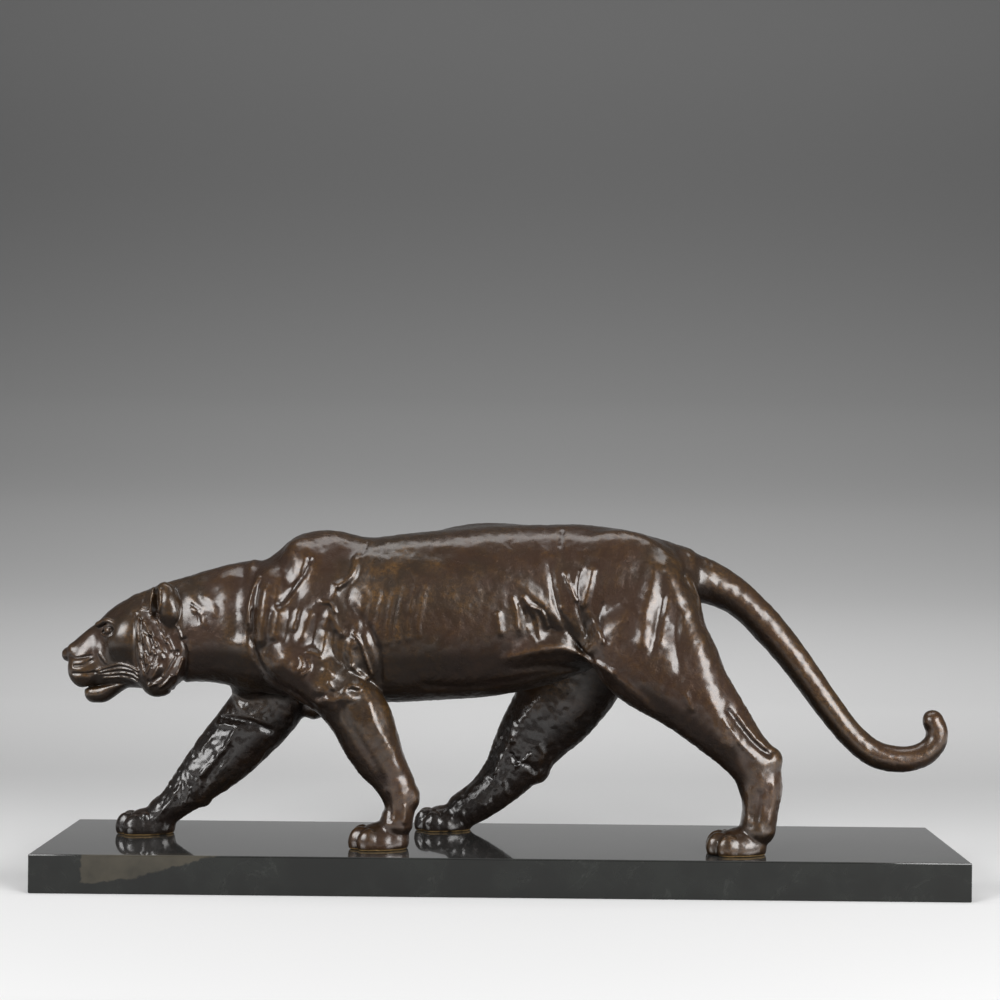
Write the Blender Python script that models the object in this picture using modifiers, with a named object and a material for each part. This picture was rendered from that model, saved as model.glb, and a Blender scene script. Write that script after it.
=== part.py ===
# Walking panther cast in bronze, fixed by four studs to a polished marble slab.
# Frame: origin in the middle of the slab's underside, the animal walks towards -X, +Z is up.
# Lengths are metres, apart from the animal's own shape lists, which are millimetres (see MM).

import math

import bmesh
import bpy
import numpy as np
from mathutils import Matrix, Vector

MM = 0.001

# Marble slab
BASE_LENGTH = 0.720
BASE_WIDTH = 0.145
BASE_THICKNESS = 0.030
BASE_EDGE_BEVEL = 0.0010

# Fixings under each paw
STUD_DIAMETER = 0.005
STUD_LENGTH = 0.036
STUD_IN_PAW = 0.009
HOLE_END_CLEARANCE = 0.001
RADIAL_CLEARANCE = 0.0003
SEAT_GAP = 0.0003
COUNTERBORE_DIAMETER = 0.018
COUNTERBORE_DEPTH = 0.011
WASHER_DIAMETER = 0.015
WASHER_THICKNESS = 0.0012
NUT_ACROSS_FLATS = 0.008
NUT_HEIGHT = 0.004

# Cutters run past the faces they open by this much; the one for the soles is this deep
CUTTER_OVERRUN = 0.002
SOLE_CUT_DEPTH = 0.020

# Fineness of the cast surface
CLAY_VOXEL = 0.0024
CLAY_SMOOTHING = 5
CREASE_FILLET = 0.005
BRONZE_TRIANGLES = 10000
RING_POINTS = 20
ROUND_SEGMENTS = 32

# Paw centres on the slab (mm from its middle); each leg is measured from its paw
PAWS = {
    "left_fore": (-92, -36),
    "right_fore": (-287, 16),
    "left_hind": (187, -45),
    "right_hind": (-46, 43),
}
PAW_BODY = ((-2, 0, 4.5), (19, 15.5, 15.5))
PAW_HEEL = ((11, 0, 6), (9.5, 12, 12))
TOE_RISE = 5.5
TOE_SIZE = (10, 5.9, 11.8)
# Each toe's place from the paw's centre, forward and across, and its share of TOE_SIZE
TOES = ((-10, -11, 0.93), (-18, -4.2, 1), (-17.5, 4.2, 1), (-10, 11, 0.93))

# Torso, neck and head rows: x, top, underside, half width, middle y
TORSO = [
    (-238, 212, 130, 24, -8), (-215, 218, 124, 30, -8), (-190, 224, 118, 36, -9), (-160, 231, 114, 42, -8),
    (-125, 239, 113, 45, -7), (-90, 244.5, 111, 47, -6), (-50, 249, 113, 48, -4), (-10, 253, 116, 46, -2),
    (30, 254, 124, 42, -1), (65, 254.5, 136, 40, 0), (100, 250, 152, 38, 0), (128, 243, 172, 32, 0),
    (146, 237, 192, 23, 0),
]
TORSO_END = 12
NECK = [
    (-292, 196, 128, 22, -9), (-270, 205, 124, 25, -9), (-245, 212.5, 126, 27, -9),
    (-222, 219.5, 125, 31, -9), (-200, 224, 120, 36, -9),
]
NECK_END = 14
HEAD = [
    (-347, 153, 141, 7.5, -9), (-341, 159.5, 131, 11.5, -9), (-333, 166.5, 124, 14, -9),
    (-324, 173.5, 121, 15.5, -9), (-315, 182.5, 121, 18, -9), (-304, 190, 121, 22.5, -9),
    (-291, 195, 121, 27, -9), (-278, 199, 119, 28, -9), (-264, 202, 119, 27, -9),
]
HEAD_END = 6
HEAD_MIDDLE = -9

# Limb rows: x, y, z, half thickness fore and aft, half width; legs have x and y from their paw
JAW = [
    (-292, -9, 127, 9, 15), (-308, -9, 121.5, 8, 12), (-320, -9, 116.5, 8.5, 10), (-328, -9, 116, 8.7, 9.5),
]
TAIL = [
    (140, 0, 214, 22, 20), (162, 0, 210, 18, 16), (182, 0, 201, 15.2, 14.5), (196.5, -1, 190, 13.8, 13.5),
    (212, -2, 174.5, 13.6, 13.3), (229, -4, 154.5, 12.5, 12.5), (245.5, -6, 132.5, 11.7, 11.7),
    (262.5, -8, 109, 11, 11), (280, -10, 87.5, 10.4, 10.4), (298.5, -12, 73.5, 10.6, 10.6),
    (320, -14, 70, 10.2, 10.2), (336, -15, 74.5, 9.4, 9.4), (345, -15, 84, 8.8, 8.8),
    (346, -15, 94, 8.6, 8.6), (343, -15, 101.5, 8.2, 8.2),
]
LEGS = {
    "left_fore": [
        (-72, 0, 148, 25, 19), (-54, -4, 136, 25, 19), (-33, -5, 119, 22.5, 18), (-19, -4, 103, 24, 17.5),
        (-11, -3, 85, 22.5, 16.5), (-4, -2, 70, 19.5, 15), (4, -1, 58, 16.5, 13.5), (11, -1, 45, 14.5, 12.5),
        (12.5, -0.5, 32, 12, 12), (10, 0, 20, 13, 13.5),
    ],
    "right_fore": [
        (111, 2, 146, 36, 20), (101, 4, 122, 33, 20), (93, 4, 103, 29.5, 19), (79, 4, 85, 27.5, 18),
        (59, 3, 63, 25, 16), (37, 1, 41, 19, 14), (21, 0, 25, 13.8, 13), (11, 0, 17, 13, 14),
    ],
    "left_hind": [
        (-95, 9, 172, 34, 19), (-75, 5, 150, 37, 20), (-45, 3, 128, 33, 19), (-21, 2, 104, 26.5, 16.5),
        (-3, 1, 84, 21, 14), (10, 0, 68, 19, 13), (15, 0, 51, 17, 12.5), (15, 0, 35, 14, 12.5),
        (13, 0, 20, 14, 14),
    ],
    "right_hind": [
        (122, -9, 160, 40, 20), (106, -3, 130, 40, 20), (89, -1, 102, 36, 19), (72, 0, 80, 30, 17),
        (61, 0, 62, 26, 15.5), (49, 0, 45, 21, 14), (32, 0, 28, 17, 13.5), (14, 0, 16, 15, 14),
    ],
}

# Muscle and bone masses: centre, half sizes (along, across the body, up), pitch and yaw in degrees
MASSES = {
    "far chest": ((-199, 14, 148), (27, 22, 42), -10, 0),
    "far shoulder": ((-172, 20, 186), (34, 22, 44), 20, 0),
    "shoulder hump": ((-144, -12, 220), (42, 24, 28), 5, 0),
    "shoulder blade": ((-146, -26, 198), (27, 23, 46), 26, 0),
    "shoulder front": ((-172, -30, 176), (25, 22, 44), 12, 0),
    "point of shoulder": ((-165, -34, 148), (25, 21, 24), 10, 0),
    "triceps": ((-122, -34, 160), (21, 17, 36), 14, 0),
    "near hip": ((92, -22, 200), (50, 23, 50), -10, 0),
    "near thigh": ((108, -28, 178), (36, 22, 50), -50, 0),
    "near hamstring": ((134, -26, 188), (21, 21, 46), 16, 0),
    "near buttock": ((122, -22, 204), (32, 21, 32), -18, 0),
    "back of near thigh": ((149, -37, 150), (20, 18, 37), 24, 0),
    "far hip": ((66, 22, 200), (50, 24, 48), 14, 0),
    "far rump": ((112, 18, 198), (34, 22, 38), -10, 0),
    "far hip bone": ((-10, 16, 232), (60, 24, 23), 0, 0),
    "top of near forearm": ((-134, -53.5, 118), (7, 6, 9), 20, 0),
    "near hamstring band": ((149, -48, 167), (9, 6, 24), 22, 0),
    "near calf band": ((163, -55.5, 116), (8, 6, 22), 20, 0),
}
# Forms on both flanks: x and z, half sizes, pitch, and the y of the skin on the near and the far side.
# The far legs stride further forward, so their forms do too, by the stride.
SHOULDER_STRIDE = -20
HAUNCH_STRIDE = -26
BAND_RISE = 1.8
HOLLOW_DEPTH = 3
SHOULDER_BANDS = {
    "front band": ((-186, 184), (4.5, 6, 22), -7, (-49, 30.5)),
    "shoulder lobe": ((-173.5, 175), (6, 6, 12), -17, (-52.5, 36.5)),
    "arm lobe": ((-152, 174), (5, 6, 12), -16, (-51, 41)),
    "deltoid": ((-166, 151), (14, 6, 9), -33, (-56, 37)),
    "triceps lobe": ((-137, 160), (4.5, 6, 10), 0, (-51, 37.5)),
    "elbow lobe": ((-117, 154), (5.5, 6, 12), 0, (-51.5, 35)),
    "edge of blade": ((-120, 216), (4, 6, 13), -31, (-45, 27)),
}
HAUNCH_BANDS = {
    "stifle fold": ((42, 158.5), (28, 6, 5), 0, (-38, 39)),
    "hip band": ((66, 206), (4.5, 6, 16), -8, (-43, 43.5)),
    "thigh band": ((112, 194), (7, 6, 32), -10, (-47.5, 44.5)),
}
FLANK_HOLLOWS = {
    "flank": ((28, 174), (18, 12, 14), 0, (-42.5, 42.5)),
    "under the stifle fold": ((34, 147.5), (26, 6, 4.5), 0, (-34.5, 36.5)),
}
# Masses of the head, one on each side: distance from its middle plane in place of y
FACE_MASSES = {
    "cheek bone": ((-299, 17.5, 160), (19, 12, 20), -32, 0),
    "ruff": ((-270, 17, 141), (19, 14, 26), -10, 0),
    "whisker pad": ((-335, 8, 137.5), (12, 8.5, 13), 10, 0),
    "ear": ((-265, 20, 187), (10, 13, 19.5), 10, -38),
    "brow": ((-313, 16, 171.5), (10, 4, 3.5), -8, 28),
}
FACE_HOLLOWS = {
    "eye socket": ((-317.5, 23, 164.5), (8.5, 8, 8), 20, 0),
    "ear opening": ((-272.5, 26, 190), (8, 8.6, 14.5), 8, -38),
}
MOUTH = ((-331, -9, 121.4), (17, 16, 2.4), 8, 0)
# Pads and joints of a leg, from its paw: centre, half sizes
LEG_MASSES = {
    "left_fore": [((22, -1, 39.5), (6.2, 7, 10))],
    "right_fore": [((132, 6, 104), (13, 12, 11)), ((42, 1, 28), (8, 8, 7))],
    "left_hind": [((20, 0, 73), (12, 10, 11))],
    "right_hind": [((74, 0, 49), (11, 10, 10))],
}


def clear_scene():
    for item in list(bpy.data.objects):
        bpy.data.objects.remove(item, do_unlink=True)
    for group in list(bpy.data.collections):
        bpy.data.collections.remove(group)


def make_material(name, colour, roughness, metallic):
    material = bpy.data.materials.new(name)
    material.use_nodes = True
    shader = material.node_tree.nodes["Principled BSDF"]
    shader.inputs["Base Color"].default_value = (*colour, 1.0)
    shader.inputs["Roughness"].default_value = roughness
    shader.inputs["Metallic"].default_value = metallic
    return material


def add_object(name, bm, collection, material=None):
    mesh = bpy.data.meshes.new(name)
    bm.to_mesh(mesh)
    bm.free()
    item = bpy.data.objects.new(name, mesh)
    collection.objects.link(item)
    if material:
        mesh.materials.append(material)
    return item


def hide_cutter(item):
    item.hide_render = True
    item.display_type = "WIRE"
    return item


def cut(item, cutter, name):
    boolean = item.modifiers.new(name, "BOOLEAN")
    boolean.operation = "DIFFERENCE"
    boolean.object = cutter
    boolean.solver = "EXACT"


# One even skin over everything that overlaps
def join_skin(item, name):
    remesh = item.modifiers.new(name, "REMESH")
    remesh.mode = "VOXEL"
    remesh.voxel_size = CLAY_VOXEL
    remesh.use_smooth_shade = True


def displace(item, name, distance):
    push = item.modifiers.new(name, "DISPLACE")
    push.direction = "NORMAL"
    push.mid_level = 0
    push.strength = distance


# A smooth curve through the rows, a few rows to each span
def through_rows(rows, steps=3):
    rows = np.asarray(rows, float)
    padded = np.vstack([2 * rows[0] - rows[1], rows, 2 * rows[-1] - rows[-2]])
    share = np.linspace(0, 1, steps, endpoint=False)[:, None]
    spans = []
    for before, start, end, after in zip(padded, padded[1:], padded[2:], padded[3:]):
        spans.append(0.5 * (
            2 * start
            + (end - before) * share
            + (2 * before - 5 * start + 4 * end - after) * share ** 2
            + (3 * start - before - 3 * end + after) * share ** 3
        ))
    return np.vstack([*spans, rows[-1:]])


# A closed skin over rings of equal count, with a pole at each end
def skin_rings(bm, rings, first_pole, last_pole):
    loops = [[bm.verts.new(Vector(point) * MM) for point in ring] for ring in rings]
    count = len(loops[0])
    for low, high in zip(loops, loops[1:]):
        for i in range(count):
            j = (i + 1) % count
            bm.faces.new((low[i], low[j], high[j], high[i]))
    for loop, pole in ((loops[0], first_pole), (loops[-1], last_pole)):
        tip = bm.verts.new(Vector(pole) * MM)
        for i in range(count):
            bm.faces.new((loop[i], loop[(i + 1) % count], tip))


# Upright oval sections along X: y = middle + width cos^(2/n), z = centre + height sin^(2/n)
def add_barrel(bm, rows, end_length, squareness=2.2):
    turn = np.linspace(0, 2 * math.pi, RING_POINTS, endpoint=False)
    across = np.sign(np.cos(turn)) * np.abs(np.cos(turn)) ** (2 / squareness)
    upward = np.sign(np.sin(turn)) * np.abs(np.sin(turn)) ** (2 / squareness)
    rows = through_rows(rows)
    first, last = rows[0], rows[-1]
    ends = np.radians([30, 60])
    sections = [(first, -math.sin(a), math.cos(a)) for a in ends[::-1]]
    sections += [(row, 0.0, 1.0) for row in rows]
    sections += [(last, math.sin(a), math.cos(a)) for a in ends]
    rings = []
    for (x, top, bottom, width, middle), push, scale in sections:
        rings.append(np.column_stack([
            np.full(RING_POINTS, x + push * end_length),
            middle + scale * width * across,
            (top + bottom) / 2 + scale * (top - bottom) / 2 * upward,
        ]))
    poles = []
    for (x, top, bottom, _, middle), side in ((first, -1), (last, 1)):
        poles.append((x + side * end_length, middle, (top + bottom) / 2))
    skin_rings(bm, rings, *poles)


# Oval sections square to a path, closed by rounded ends
def add_limb(bm, rows, origin=(0, 0)):
    rows = through_rows(np.asarray(rows, float) + [origin[0], origin[1], 0, 0, 0])
    path = rows[:, :3]
    along = np.gradient(path, axis=0)
    along /= np.linalg.norm(along, axis=1, keepdims=True)
    side = np.array([0, 1.0, 0]) - along[:, 1:2] * along
    side /= np.linalg.norm(side, axis=1, keepdims=True)
    front = np.cross(along, side)
    turn = np.linspace(0, 2 * math.pi, RING_POINTS, endpoint=False)
    reach = rows[:, 3:5].min(axis=1)
    ends = np.radians([30, 60])
    sections = [(0, -math.sin(a), math.cos(a)) for a in ends[::-1]]
    sections += [(i, 0.0, 1.0) for i in range(len(rows))]
    sections += [(len(rows) - 1, math.sin(a), math.cos(a)) for a in ends]
    rings = []
    for i, push, scale in sections:
        rings.append(
            path[i] + push * reach[i] * along[i]
            + scale * rows[i, 4] * np.outer(np.cos(turn), side[i])
            + scale * rows[i, 3] * np.outer(np.sin(turn), front[i])
        )
    skin_rings(bm, rings, path[0] - reach[0] * along[0], path[-1] + reach[-1] * along[-1])


# An ellipsoid, turned about Y by its pitch and about Z by its yaw
def add_mass(bm, centre, sizes, pitch=0, yaw=0):
    place = (
        Matrix.Translation(Vector(centre) * MM)
        @ Matrix.Rotation(math.radians(yaw), 4, "Z")
        @ Matrix.Rotation(math.radians(-pitch), 4, "Y")
        @ Matrix.Diagonal((*(Vector(sizes) * MM), 1.0))
    )
    bmesh.ops.create_uvsphere(bm, u_segments=24, v_segments=16, radius=1.0, matrix=place)


def add_mirrored_masses(bm, masses):
    for (x, offset, z), sizes, pitch, yaw in masses.values():
        for side in (-1, 1):
            add_mass(bm, (x, HEAD_MIDDLE + side * offset, z), sizes, pitch, side * yaw)


# A band's ellipsoid lies mostly under the skin, a hollow's mostly outside it
def add_on_flanks(bm, forms, stride, hollow=False):
    for (x, z), sizes, pitch, skins in forms.values():
        outward = sizes[1] - HOLLOW_DEPTH if hollow else BAND_RISE - sizes[1]
        for y, forward in zip(skins, (0, stride)):
            add_mass(bm, (x + forward, y + math.copysign(1, y) * outward, z), sizes, pitch)


def add_leg_masses(bm, name, masses):
    for (dx, dy, z), sizes in masses:
        add_mass(bm, (PAWS[name][0] + dx, PAWS[name][1] + dy, z), sizes)


def add_paw(bm, name):
    toes = [((dx, dy, TOE_RISE), Vector(TOE_SIZE) * share) for dx, dy, share in TOES]
    add_leg_masses(bm, name, [PAW_BODY, PAW_HEEL, *toes])


def build_panther(parts, cutters, material):
    raise_to_slab = Matrix.Translation((0, 0, BASE_THICKNESS + SEAT_GAP))
    bm = bmesh.new()
    add_barrel(bm, TORSO, TORSO_END)
    add_barrel(bm, NECK, NECK_END)
    add_barrel(bm, HEAD, HEAD_END)
    add_limb(bm, JAW)
    add_limb(bm, TAIL)
    for centre, sizes, pitch, yaw in MASSES.values():
        add_mass(bm, centre, sizes, pitch, yaw)
    add_mirrored_masses(bm, FACE_MASSES)
    add_on_flanks(bm, SHOULDER_BANDS, SHOULDER_STRIDE)
    add_on_flanks(bm, HAUNCH_BANDS, HAUNCH_STRIDE)
    for name, rows in LEGS.items():
        add_limb(bm, rows, PAWS[name])
        add_paw(bm, name)
        add_leg_masses(bm, name, LEG_MASSES[name])
    bmesh.ops.recalc_face_normals(bm, faces=bm.faces)
    bmesh.ops.transform(bm, matrix=raise_to_slab, verts=bm.verts)
    panther = add_object("panther", bm, parts, material)

    # Swollen, joined again and shrunk back, the skin keeps its crests and fills its creases with fillets
    join_skin(panther, "join forms")
    displace(panther, "swell", CREASE_FILLET)
    join_skin(panther, "fill creases")
    displace(panther, "shrink back", -CREASE_FILLET)

    hollows = bmesh.new()
    add_mirrored_masses(hollows, FACE_HOLLOWS)
    add_on_flanks(hollows, FLANK_HOLLOWS, HAUNCH_STRIDE, hollow=True)
    add_mass(hollows, *MOUTH)
    bmesh.ops.transform(hollows, matrix=raise_to_slab, verts=hollows.verts)
    cut(panther, hide_cutter(add_object("hollows", hollows, cutters)), "hollows")

    join_skin(panther, "even out")
    smooth = panther.modifiers.new("smooth", "SMOOTH")
    smooth.factor = 0.5
    smooth.iterations = CLAY_SMOOTHING
    bpy.context.view_layer.update()
    graph = bpy.context.evaluated_depsgraph_get()
    faces = len(panther.evaluated_get(graph).data.polygons)
    thin = panther.modifiers.new("thin", "DECIMATE")
    thin.ratio = min(1.0, BRONZE_TRIANGLES / (2 * faces))
    thin.use_collapse_triangulate = True

    # Flat soles, and a blind hole for the stud in each paw
    soles = bmesh.new()
    level = Matrix.Translation((0, 0, BASE_THICKNESS + SEAT_GAP - SOLE_CUT_DEPTH / 2))
    block = Matrix.Diagonal((2 * BASE_LENGTH, 2 * BASE_WIDTH, SOLE_CUT_DEPTH, 1.0))
    bmesh.ops.create_cube(soles, size=1.0, matrix=level @ block)
    cut(panther, hide_cutter(add_object("soles", soles, cutters)), "flat soles")
    holes = bmesh.new()
    hole_top = BASE_THICKNESS + STUD_IN_PAW + HOLE_END_CLEARANCE
    for x, y in PAWS.values():
        add_cylinder(holes, x * MM, y * MM, 0.0, hole_top, STUD_DIAMETER / 2 + RADIAL_CLEARANCE)
    cut(panther, hide_cutter(add_object("paw_holes", holes, cutters)), "stud holes")
    return panther


def add_cylinder(bm, x, y, bottom, top, radius, segments=ROUND_SEGMENTS):
    place = Matrix.Translation((x, y, (bottom + top) / 2))
    bmesh.ops.create_cone(
        bm, cap_ends=True, segments=segments, radius1=radius, radius2=radius, depth=top - bottom, matrix=place
    )


def build_base(parts, cutters, material):
    bm = bmesh.new()
    place = Matrix.Translation((0, 0, BASE_THICKNESS / 2))
    bmesh.ops.create_cube(
        bm, size=1.0, matrix=place @ Matrix.Diagonal((BASE_LENGTH, BASE_WIDTH, BASE_THICKNESS, 1.0))
    )
    base = add_object("marble_base", bm, parts, material)
    edge = base.modifiers.new("polished edge", "BEVEL")
    edge.width = BASE_EDGE_BEVEL
    edge.segments = 2
    bore_radius = STUD_DIAMETER / 2 + RADIAL_CLEARANCE
    bores = bmesh.new()
    counterbores = bmesh.new()
    for x, y in PAWS.values():
        x, y = x * MM, y * MM
        add_cylinder(bores, x, y, -CUTTER_OVERRUN, BASE_THICKNESS + CUTTER_OVERRUN, bore_radius)
        add_cylinder(counterbores, x, y, -CUTTER_OVERRUN, COUNTERBORE_DEPTH, COUNTERBORE_DIAMETER / 2)
    cut(base, hide_cutter(add_object("base_bores", bores, cutters)), "stud bores")
    cut(base, hide_cutter(add_object("base_counterbores", counterbores, cutters)), "counterbores")
    return base


def build_fixings(parts, cutters, material):
    washer_top = COUNTERBORE_DEPTH - SEAT_GAP
    nut_top = washer_top - WASHER_THICKNESS - SEAT_GAP
    bore_radius = STUD_DIAMETER / 2 + RADIAL_CLEARANCE
    stud_top = BASE_THICKNESS + STUD_IN_PAW
    for name, (x, y) in PAWS.items():
        x, y = x * MM, y * MM
        stud = bmesh.new()
        add_cylinder(stud, x, y, stud_top - STUD_LENGTH, stud_top, STUD_DIAMETER / 2)
        add_object("stud_" + name, stud, parts, material)
        through = bmesh.new()
        add_cylinder(through, x, y, 0.0, washer_top + CUTTER_OVERRUN, bore_radius)
        bore = hide_cutter(add_object("fixing_bore_" + name, through, cutters))
        washer = bmesh.new()
        add_cylinder(washer, x, y, washer_top - WASHER_THICKNESS, washer_top, WASHER_DIAMETER / 2)
        cut(add_object("washer_" + name, washer, parts, material), bore, "stud bore")
        nut = bmesh.new()
        corner_radius = NUT_ACROSS_FLATS / 2 / math.cos(math.pi / 6)
        add_cylinder(nut, x, y, nut_top - NUT_HEIGHT, nut_top, corner_radius, segments=6)
        cut(add_object("nut_" + name, nut, parts, material), bore, "stud bore")


def main():
    clear_scene()
    parts = bpy.data.collections.new("bronze_panther_sculpture")
    cutters = bpy.data.collections.new("cutters")
    for group in (parts, cutters):
        bpy.context.scene.collection.children.link(group)
    bronze = make_material("brown bronze", (0.085, 0.045, 0.022), 0.3, 1.0)
    marble = make_material("dark marble", (0.022, 0.024, 0.020), 0.12, 0.0)
    steel = make_material("steel", (0.42, 0.42, 0.43), 0.35, 1.0)
    build_panther(parts, cutters, bronze)
    build_base(parts, cutters, marble)
    build_fixings(parts, cutters, steel)


main()
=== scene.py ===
import math
import bpy
import numpy as np
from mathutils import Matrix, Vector


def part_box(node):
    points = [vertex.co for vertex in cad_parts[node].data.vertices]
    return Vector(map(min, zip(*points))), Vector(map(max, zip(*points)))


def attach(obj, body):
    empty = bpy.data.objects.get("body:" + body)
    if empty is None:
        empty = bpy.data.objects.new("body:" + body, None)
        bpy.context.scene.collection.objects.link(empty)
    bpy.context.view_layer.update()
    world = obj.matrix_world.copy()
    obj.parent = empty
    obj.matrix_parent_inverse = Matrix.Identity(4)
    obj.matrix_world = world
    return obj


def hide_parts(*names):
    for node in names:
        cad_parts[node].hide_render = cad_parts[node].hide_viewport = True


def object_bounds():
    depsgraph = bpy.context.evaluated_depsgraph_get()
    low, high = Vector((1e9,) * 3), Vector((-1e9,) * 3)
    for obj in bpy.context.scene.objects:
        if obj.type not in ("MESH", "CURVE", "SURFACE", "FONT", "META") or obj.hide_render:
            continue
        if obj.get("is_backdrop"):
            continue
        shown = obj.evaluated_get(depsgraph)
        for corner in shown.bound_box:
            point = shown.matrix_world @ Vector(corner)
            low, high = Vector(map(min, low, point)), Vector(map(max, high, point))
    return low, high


# Bronze panther on a marble plinth: the finish, the fine modelling, the light and the camera.
# The clay tools work in millimetres: x runs along the plinth from head to tail,
# y across it with the near side negative, and z up from the soles of the paws.

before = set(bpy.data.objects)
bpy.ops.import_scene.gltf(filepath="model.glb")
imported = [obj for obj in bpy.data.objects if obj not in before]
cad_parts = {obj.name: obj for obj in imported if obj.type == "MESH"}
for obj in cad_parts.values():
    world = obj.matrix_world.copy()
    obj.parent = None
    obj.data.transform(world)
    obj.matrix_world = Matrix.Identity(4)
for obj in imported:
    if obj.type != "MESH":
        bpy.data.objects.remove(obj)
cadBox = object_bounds()
millimetre = 0.001
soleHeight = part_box("panther")[0].z
plinthLow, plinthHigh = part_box("marble_base")
print("frame loaded:", len(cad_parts), "nodes")


# Clay tools. The clay is a list of lumps, each with its box and a function that changes the field f,
# which is the distance to the skin, negative inside.

def softMin(a, b, reach):
    # the smaller of a and b, rounded by a cubic where they are closer than reach
    near = np.maximum(reach - np.abs(a - b), 0.0) / reach
    return np.minimum(a, b) - near * near * near * reach / 6.0


def softMax(a, b, reach):
    return -softMin(-a, -b, reach)


def smoothStep(value):
    value = np.clip(value, 0.0, 1.0)
    return value * value * (3 - 2 * value)


def curveThrough(stations, steps):
    # Catmull-Rom curve through the stations, the given number of steps to a span
    rows = np.asarray(stations, float)
    ends = np.vstack([2 * rows[0] - rows[1], rows, 2 * rows[-1] - rows[-2]])
    t = np.linspace(0, 1, steps, endpoint=False)[None, :, None]
    a, b, c, d = (ends[i:len(ends) - 3 + i][:, None] for i in range(4))
    spans = 0.5 * (2 * b + (c - a) * t + (2 * a - 5 * b + 4 * c - d) * t**2
                   + (3 * b - a - 3 * c + d) * t**3)
    return np.vstack([spans.reshape(-1, rows.shape[1]), rows[-1:]])


def ellipsoidDistance(u, v, w, radii):
    # distance to an ellipsoid, close near its skin: k (k - 1) / |gradient of k|
    k = np.sqrt((u / radii[0])**2 + (v / radii[1])**2 + (w / radii[2])**2) + 1e-9
    slope = np.sqrt((u / radii[0]**2)**2 + (v / radii[1]**2)**2 + (w / radii[2]**2)**2) + 1e-9
    return k * (k - 1) / slope


def addMass(clay, centre, radii, pitch=0, yaw=0, blend=8, cut=False):
    # an ellipsoid, its first radius turned up by pitch in the side view and outwards by yaw
    centre, radii = np.array(centre, float), np.array(radii, float)
    up, out = math.radians(pitch), math.radians(yaw)
    along = np.array([math.cos(up) * math.cos(out), math.sin(out), math.sin(up) * math.cos(out)])
    side = np.cross([-math.sin(up), 0, math.cos(up)], along)
    side /= np.linalg.norm(side)
    rise = np.cross(along, side)
    reach = np.sqrt((along * radii[0])**2 + (side * radii[1])**2 + (rise * radii[2])**2) + blend + 2

    def shape(x, y, z, f):
        dx, dy, dz = x - centre[0], y - centre[1], z - centre[2]
        u, v, w = (dx * e[0] + dy * e[1] + dz * e[2] for e in (along, side, rise))
        d = ellipsoidDistance(u, v, w, radii)
        return softMax(f, -d, blend) if cut else softMin(f, d, blend)

    clay.append((centre - reach, centre + reach, shape))


def addTube(clay, stations, blend=8, steps=4, cut=False):
    # a limb along a curve, each station x, y, z, radius in the side view, radius across the body
    line = curveThrough(stations, steps)
    margin = line[:, 3:5].max() + blend + 2

    def shape(x, y, z, f):
        best = np.full(np.broadcast_shapes(x.shape, y.shape, z.shape), 1e3)
        for a, b in zip(line[:-1], line[1:]):
            run = b[:3] - a[:3]
            length = np.linalg.norm(run)
            run = run / length
            across = np.array([0, 1.0, 0]) - run[1] * run
            across /= np.linalg.norm(across)
            normal = np.cross(run, across)
            dx, dy, dz = x - a[0], y - a[1], z - a[2]
            t, u, v = (dx * e[0] + dy * e[1] + dz * e[2] for e in (run, across, normal))
            share = np.clip(t / length, 0, 1)
            tall = a[3] + (b[3] - a[3]) * share
            wide = a[4] + (b[4] - a[4]) * share
            radii = (wide, tall, np.minimum(tall, wide))
            best = np.minimum(best, ellipsoidDistance(u, v, t - share * length, radii))
        return softMax(f, -best, blend) if cut else softMin(f, best, blend)

    clay.append((line[:, :3].min(0) - margin, line[:, :3].max(0) + margin, shape))


def addBarrel(clay, stations, cap=14, power=2.2, blend=8):
    # a long body: at each x a superellipse with its own top, bottom, half width and middle y
    line = curveThrough(stations, 8)
    line = line[np.argsort(line[:, 0])]
    first, last = line[0, 0], line[-1, 0]
    margin = blend + 4
    low = [first - cap - margin, (line[:, 4] - line[:, 3]).min() - margin, line[:, 2].min() - margin]
    high = [last + cap + margin, (line[:, 4] + line[:, 3]).max() + margin, line[:, 1].max() + margin]

    def shape(x, y, z, f):
        held = np.clip(x, first, last)
        top, bottom, wide, middle = (np.interp(held, line[:, 0], line[:, i]) for i in (1, 2, 3, 4))
        tall = (top - bottom) / 2
        v = np.abs((z - (top + bottom) / 2) / tall) + 1e-6
        u = np.abs((y - middle) / wide) + 1e-6
        k = (u**power + v**power)**(1 / power)
        slope = k**(1 - power) * np.sqrt((u**(power - 1) / wide)**2 + (v**(power - 1) / tall)**2)
        end = np.abs(x - held) / cap
        d = (np.sqrt(k**2 + end**2) - 1) / np.sqrt(slope**2 + (end / cap)**2 * 0.5)
        return softMin(f, d, blend)

    clay.append((np.array(low), np.array(high), shape))


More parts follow.
